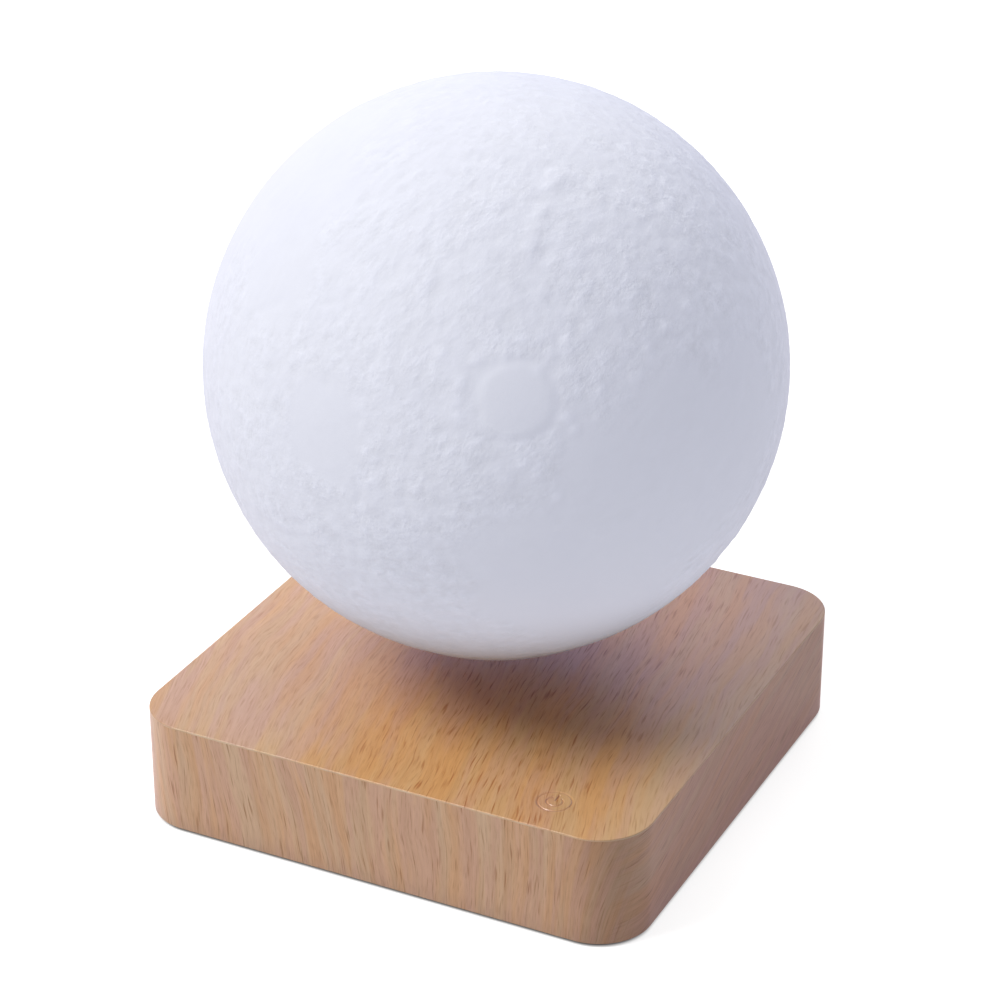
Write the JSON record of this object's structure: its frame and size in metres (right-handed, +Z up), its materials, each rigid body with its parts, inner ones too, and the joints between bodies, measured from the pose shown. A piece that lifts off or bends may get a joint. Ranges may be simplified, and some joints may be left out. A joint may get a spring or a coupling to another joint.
{
  "type": "levitating moon lamp",
  "caption": "Table lamp: a pale ball with a moon-like relief hovers over a low square wooden base with a touch switch, and turns freely.",
  "frame": {"origin": "middle of the plane that the four rubber feet stand on, under the moon's centre", "axes": "+Z up through the moon's centre; -Y is the front, where the touch mark is near the right corner; +Y is the back, where the power inlet is; +X is to the right"},
  "size_m": [0.15, 0.15, 0.191],
  "materials": {
    "wood_top": "light beech veneer, oiled, satin",
    "wood_side": "light beech veneer, oiled, satin",
    "fibreboard": "machined fibreboard, raw",
    "black_plastic": "moulded, fine spark texture",
    "tray_plastic": "moulded, matte",
    "foot_rubber": "soft, matte",
    "screw_steel": "black-zinc plated",
    "core_steel": "turned",
    "magnet_ferrite": "sintered ferrite, ground faces",
    "magnet_nickel": "nickel plated",
    "coil_copper": "enamelled copper wire",
    "bobbin_nylon": "natural nylon",
    "board_laminate": "green solder mask",
    "white_board": "white solder mask",
    "chip_resin": "moulded black resin",
    "ferrite_sheet": "flexible ferrite sheet",
    "capacitor_can": "drawn can",
    "lead_jacket": "red insulation",
    "jack_plastic": "moulded, semi-gloss",
    "pin_metal": "nickel-plated contact",
    "copper_foil": "bare copper foil",
    "moon_print": "printed cool-white polymer with a fine relief",
    "cup_plastic": "moulded white, matte",
    "led_lens": "white case with a yellow phosphor"
  },
  "bodies": {
    "base": {"housing_core": "fibreboard", "side_veneer": "wood_side", "top_veneer": "wood_top", "bottom_cover": "black_plastic", "rubber_feet": "foot_rubber", "cover_screws": "screw_steel", "module_tray": "tray_plastic", "tray_screws": "screw_steel", "ring_magnet": "magnet_ferrite", "coil_bobbins": "bobbin_nylon", "coil_windings": "coil_copper", "coil_cores": "core_steel", "hall_board": "board_laminate", "hall_sensors": "chip_resin", "transmitter_ferrite": "ferrite_sheet", "transmitter_coil": "coil_copper", "transmitter_lead": "lead_jacket", "control_board": "board_laminate", "board_screws": "screw_steel", "control_chips": "chip_resin", "capacitors": "capacitor_can", "power_inductor": "magnet_ferrite", "dc_jack": "jack_plastic", "dc_jack_pin": "pin_metal", "touch_pad": "copper_foil", "touch_board": "board_laminate", "touch_lead": "lead_jacket"},
    "float_core": {"float_magnet": "magnet_nickel"},
    "moon": {"moon_shell": "moon_print", "float_cup": "cup_plastic", "receiver_coil": "coil_copper", "receiver_ferrite": "ferrite_sheet", "receiver_leads": "lead_jacket", "led_board": "white_board", "leds": "led_lens", "rectifier_parts": "chip_resin"}
  },
  "joints": [
    {"name": "moon_lift", "type": "slide", "parent": "base", "child": "float_core", "axis": [0, 0, 1], "range_m": [0, 0.1]},
    {"name": "moon_spin", "type": "hinge", "parent": "float_core", "child": "moon", "pos_m": [0, 0, 0.116], "axis": [0, 0, 1], "continuous": true}
  ]
}
